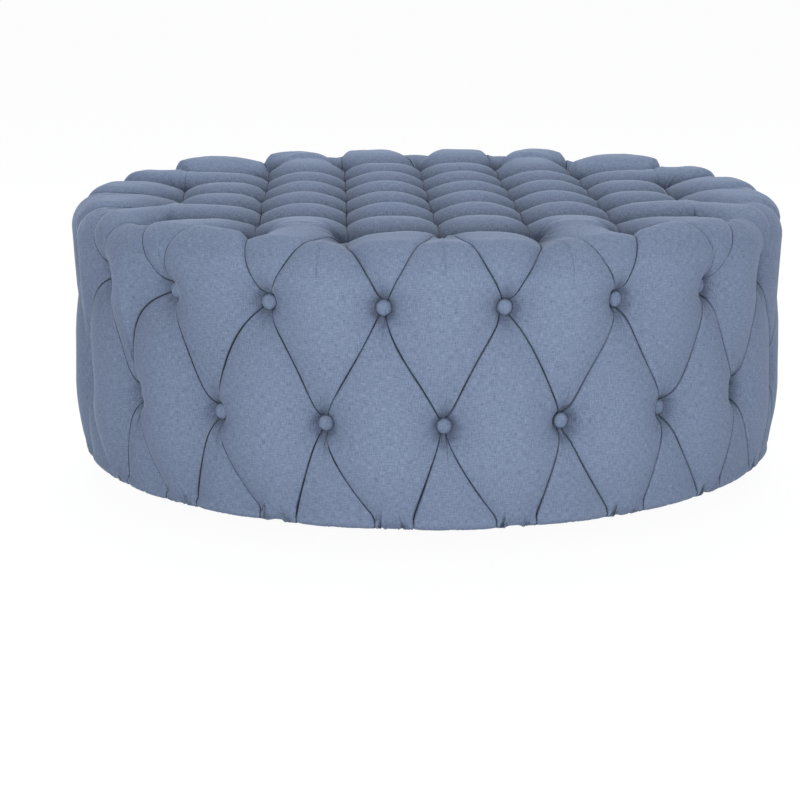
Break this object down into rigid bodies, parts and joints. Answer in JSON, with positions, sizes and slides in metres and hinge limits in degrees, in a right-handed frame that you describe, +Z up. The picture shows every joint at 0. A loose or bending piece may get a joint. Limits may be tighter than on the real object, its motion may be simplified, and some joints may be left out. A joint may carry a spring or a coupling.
{
  "type": "ottoman coffee table",
  "caption": "Low round upholstered ottoman table with a button-tufted top, rounded rim and tufted wall, on hidden feet.",
  "frame": {"origin": "on the floor under the middle of the round body", "axes": "+Z up; +Y to the back; the columns of the top tufting run along Y and its rows along X"},
  "size_m": [0.9906, 0.9906, 0.3988],
  "materials": {
    "cover_fabric": "matt linen-look weave",
    "twine": "waxed twine",
    "frame_wood": "sawn softwood",
    "foam": "open foam",
    "foot_wood": "dark satin stain",
    "stud_steel": "zinc plated",
    "dust_cloth": "black non-woven",
    "staple_steel": "bright"
  },
  "bodies": {
    "root": {"tufted_border": "cover_fabric", "tufted_top": "cover_fabric", "top_buttons": "cover_fabric", "upper_buttons": "cover_fabric", "lower_buttons": "cover_fabric", "top_twines": "twine", "upper_twines": "twine", "lower_twines": "twine", "top_toggles": "frame_wood", "upper_toggles": "frame_wood", "lower_toggles": "frame_wood", "top_foam": "foam", "wall_foam": "foam", "wall_laths": "frame_wood", "deck_board_1": "frame_wood", "deck_board_2": "frame_wood", "deck_board_3": "frame_wood", "deck_board_4": "frame_wood", "deck_board_5": "frame_wood", "deck_board_6": "frame_wood", "deck_board_7": "frame_wood", "deck_board_8": "frame_wood", "batten_1": "frame_wood", "batten_2": "frame_wood", "batten_3": "frame_wood", "batten_4": "frame_wood", "batten_5": "frame_wood", "batten_6": "frame_wood", "left_post_1": "frame_wood", "right_post_1": "frame_wood", "left_post_2": "frame_wood", "right_post_2": "frame_wood", "left_post_3": "frame_wood", "right_post_3": "frame_wood", "left_post_4": "frame_wood", "right_post_4": "frame_wood", "left_post_5": "frame_wood", "right_post_5": "frame_wood", "left_post_6": "frame_wood", "right_post_6": "frame_wood", "middle_hoop": "frame_wood", "base_ring": "frame_wood", "foot_1": "foot_wood", "foot_2": "foot_wood", "foot_3": "foot_wood", "foot_4": "foot_wood", "foot_5": "foot_wood", "foot_6": "foot_wood", "foot_studs": "stud_steel", "dust_cloth": "dust_cloth", "cloth_staples": "staple_steel"}
  },
  "joints": []
}
